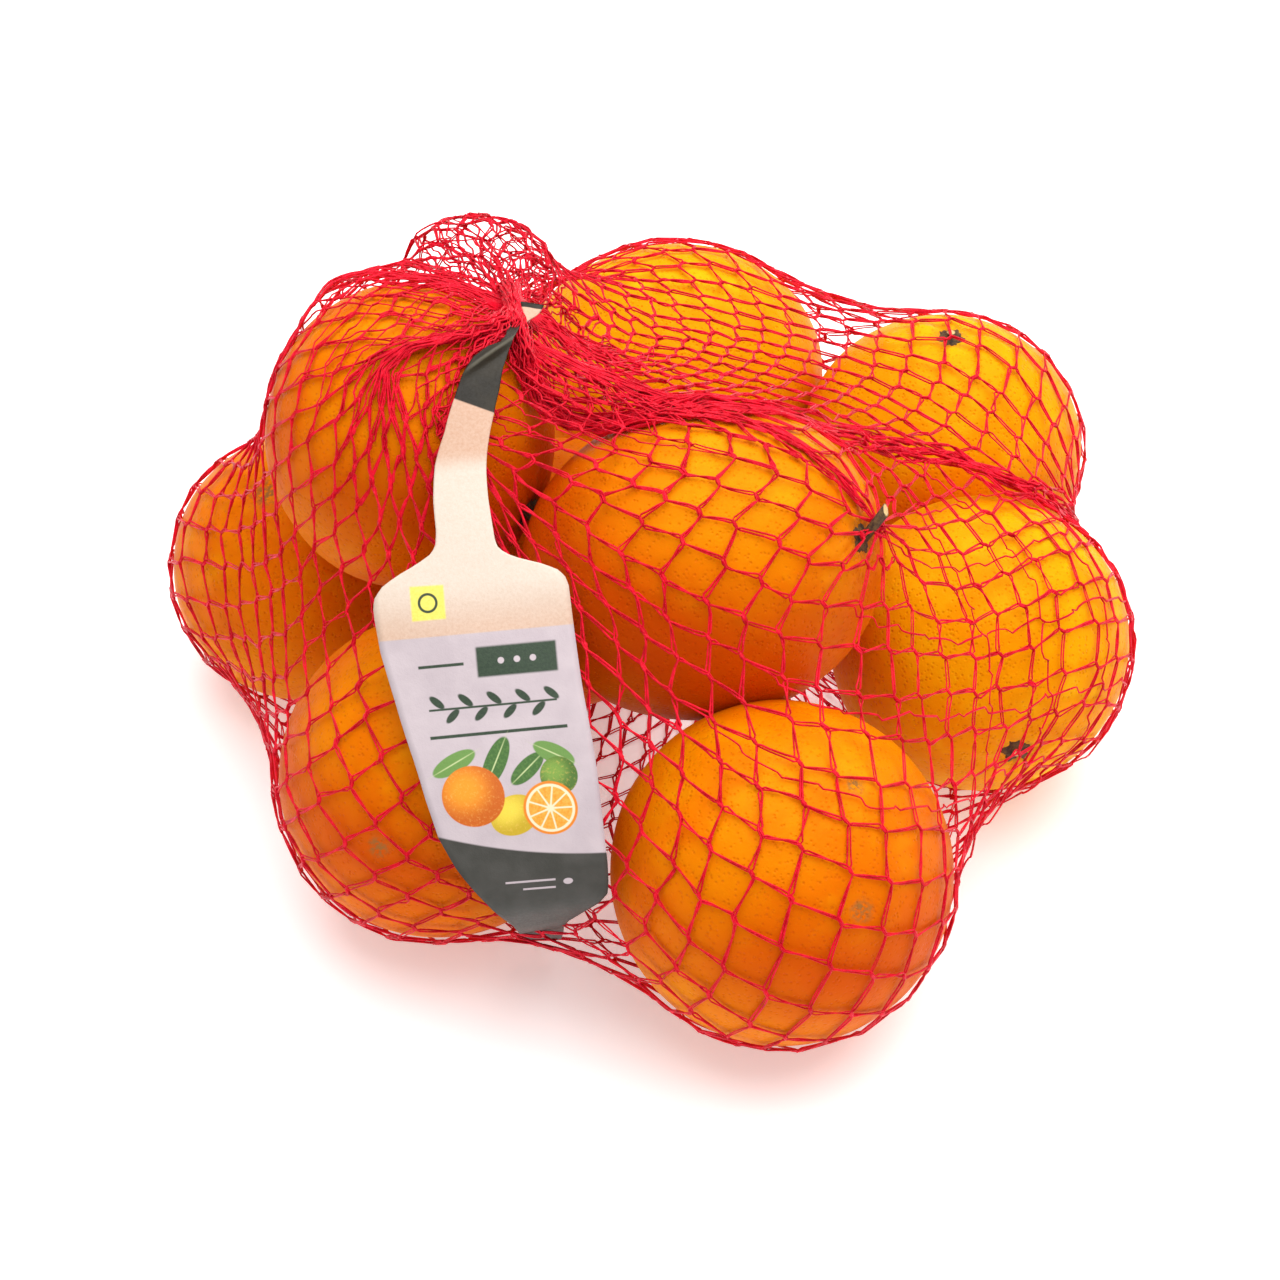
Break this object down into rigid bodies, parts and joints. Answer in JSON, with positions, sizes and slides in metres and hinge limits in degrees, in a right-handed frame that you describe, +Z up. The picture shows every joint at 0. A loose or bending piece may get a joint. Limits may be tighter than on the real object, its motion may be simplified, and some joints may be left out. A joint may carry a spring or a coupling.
{
  "type": "net of oranges",
  "caption": "Net bag of oranges lying on its side, its red knitted net gathered at both ends under a long card label.",
  "frame": {"origin": "under the middle of the bag's bounding box, on the surface it lies on", "axes": "+Z up, +X to the right as the label side is seen, -Y towards the viewer and the label's lower end"},
  "size_m": [0.2416, 0.2588, 0.1321],
  "materials": {
    "net": "satin",
    "label": "satin",
    "orange_peel": "satin",
    "orange_stem": "matte"
  },
  "bodies": {
    "root": {"filled_net": "net", "label": "label"}
  },
  "joints": []
}
